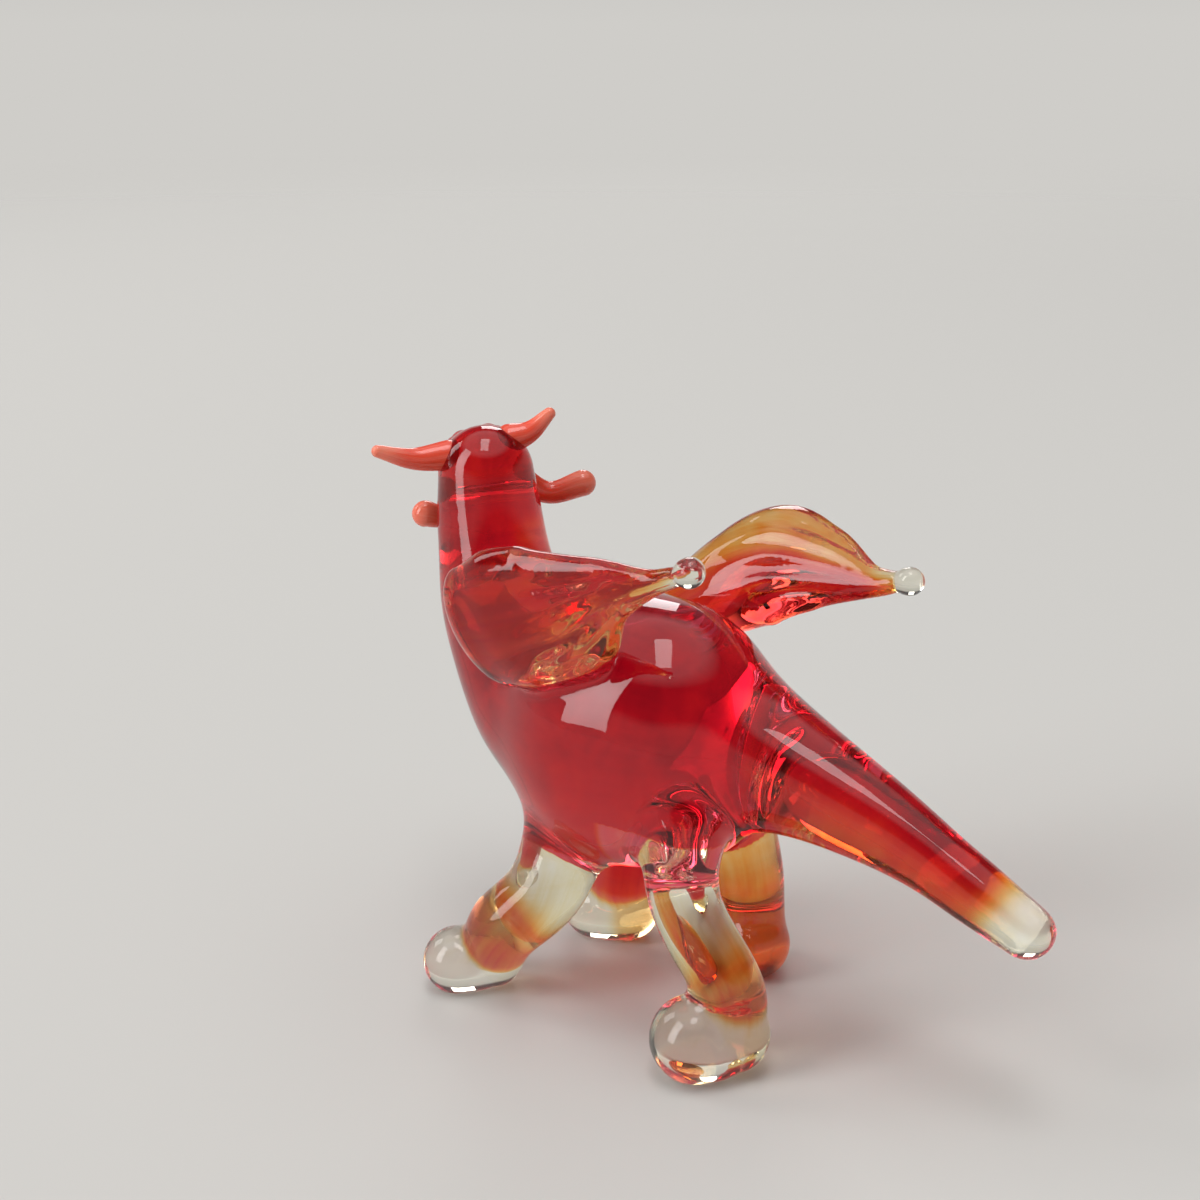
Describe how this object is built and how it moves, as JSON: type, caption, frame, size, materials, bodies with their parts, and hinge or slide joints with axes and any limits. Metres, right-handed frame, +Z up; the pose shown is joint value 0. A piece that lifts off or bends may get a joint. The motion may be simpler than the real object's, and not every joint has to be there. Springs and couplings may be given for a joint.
{
  "type": "glass dragon figurine",
  "caption": "Lampworked solid glass dragon figurine standing on pressed feet, with raised leaf wings ending in clear beads, coral horns and whiskers, and a long tapered tail.",
  "frame": {"origin": "on the floor, under the middle of the whole figure's bounding box", "axes": "+Z up; the dragon faces -Y with its tail towards +Y; its left side is at +X"},
  "size_m": [0.0344, 0.0706, 0.0529],
  "materials": {
    "ruby_glass": "fire polished, transparent deep red",
    "flame_glass": "fire polished, transparent orange red with drawn ridges",
    "amber_glass": "fire polished, transparent pale yellow turning amber and red",
    "clear_glass": "fire polished, colourless",
    "coral_glass": "glossy opaque coral",
    "black_glass": "glossy opaque black"
  },
  "bodies": {
    "root": {"torso": "ruby_glass", "neck": "ruby_glass", "head": "ruby_glass", "tail": "ruby_glass", "left_horn": "coral_glass", "left_whisker": "coral_glass", "left_eye": "black_glass", "right_horn": "coral_glass", "right_whisker": "coral_glass", "right_eye": "black_glass", "left_wing": "flame_glass", "left_wing_bead": "clear_glass", "right_wing": "flame_glass", "right_wing_bead": "clear_glass", "front_left_leg": "amber_glass", "front_left_foot": "clear_glass", "front_right_leg": "amber_glass", "front_right_foot": "clear_glass", "hind_left_leg": "amber_glass", "hind_left_foot": "clear_glass", "hind_right_leg": "amber_glass", "hind_right_foot": "clear_glass"}
  },
  "joints": []
}
